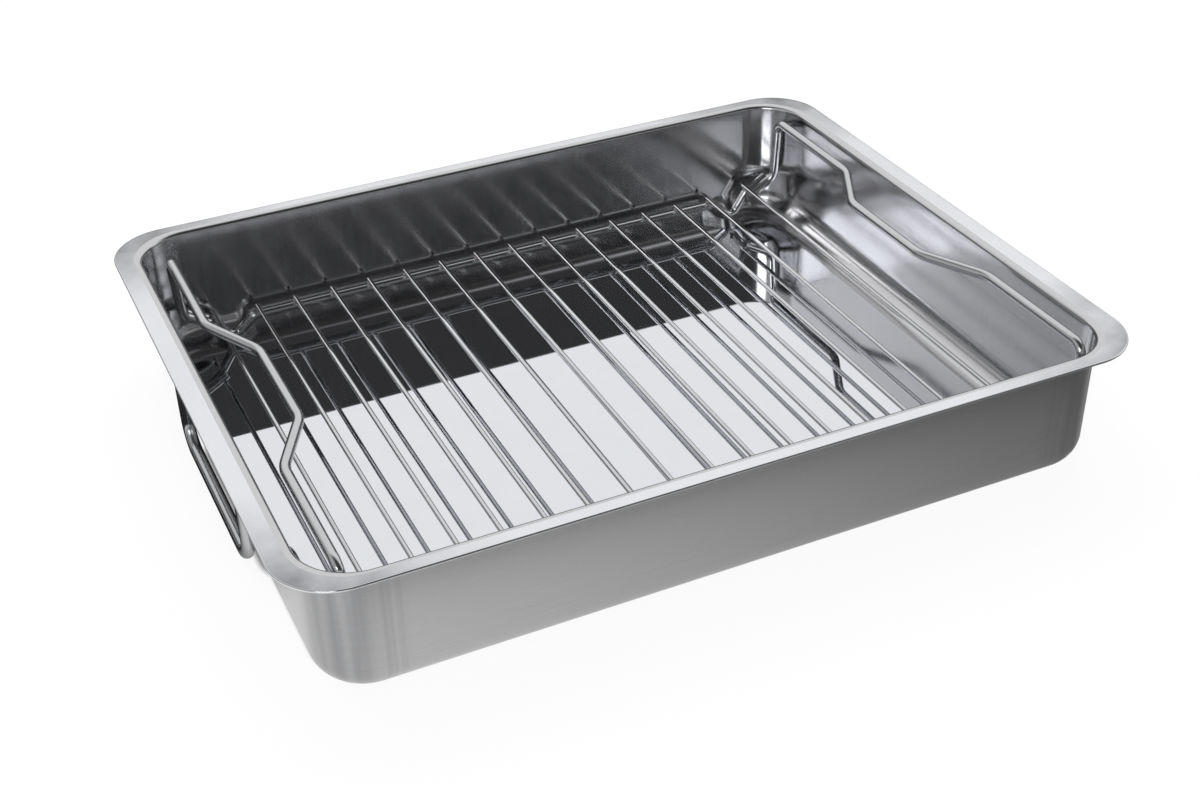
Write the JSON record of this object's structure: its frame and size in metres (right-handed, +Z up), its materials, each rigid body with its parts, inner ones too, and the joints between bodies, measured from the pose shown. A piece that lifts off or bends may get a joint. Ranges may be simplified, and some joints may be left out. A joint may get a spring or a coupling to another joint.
{
  "type": "roasting pan with rack",
  "caption": "Rectangular stainless steel roasting pan with a flat flange, swinging wire bails and a lift-out wire rack with tall handles.",
  "frame": {"origin": "middle of the pan's underside, on the surface that it stands on", "axes": "+X along the pan's length, +Y across it towards the back long wall, +Z up"},
  "size_m": [0.4, 0.32, 0.066],
  "materials": {
    "pan_steel": "satin brushed outside and on the flange, mirror polished inside",
    "clip_steel": "satin",
    "bail_wire_steel": "polished wire",
    "rack_frame_steel": "satin polished wire",
    "cross_wire_steel": "polished wire"
  },
  "bodies": {
    "pan": {"pan_body": "pan_steel", "bail_clip_left_front": "clip_steel", "bail_clip_left_back": "clip_steel", "bail_clip_right_front": "clip_steel", "bail_clip_right_back": "clip_steel"},
    "handle_left": {"bail_handle_left": "bail_wire_steel"},
    "handle_right": {"bail_handle_right": "bail_wire_steel"},
    "rack": {"carrier_wire_front": "rack_frame_steel", "carrier_wire_back": "rack_frame_steel", "rack_handle_left": "rack_frame_steel", "rack_handle_right": "rack_frame_steel", "cross_wire_01": "cross_wire_steel", "cross_wire_02": "cross_wire_steel", "cross_wire_03": "cross_wire_steel", "cross_wire_04": "cross_wire_steel", "cross_wire_05": "cross_wire_steel", "cross_wire_06": "cross_wire_steel", "cross_wire_07": "cross_wire_steel", "cross_wire_08": "cross_wire_steel", "cross_wire_09": "cross_wire_steel", "cross_wire_10": "cross_wire_steel", "cross_wire_11": "cross_wire_steel", "cross_wire_12": "cross_wire_steel", "cross_wire_13": "cross_wire_steel", "cross_wire_14": "cross_wire_steel", "cross_wire_15": "cross_wire_steel", "cross_wire_16": "cross_wire_steel"}
  },
  "joints": [
    {"name": "bail_left_hinge", "type": "hinge", "parent": "pan", "child": "handle_left", "pos_m": [-0.19087, 0, 0.05402], "axis": [0, 1, 0], "range_deg": [0, 125]},
    {"name": "bail_right_hinge", "type": "hinge", "parent": "pan", "child": "handle_right", "pos_m": [0.19087, 0, 0.05402], "axis": [0, -1, 0], "range_deg": [0, 125]},
    {"name": "rack_lift", "type": "slide", "parent": "pan", "child": "rack", "axis": [0, 0, 1], "range_m": [0, 0.07]}
  ]
}
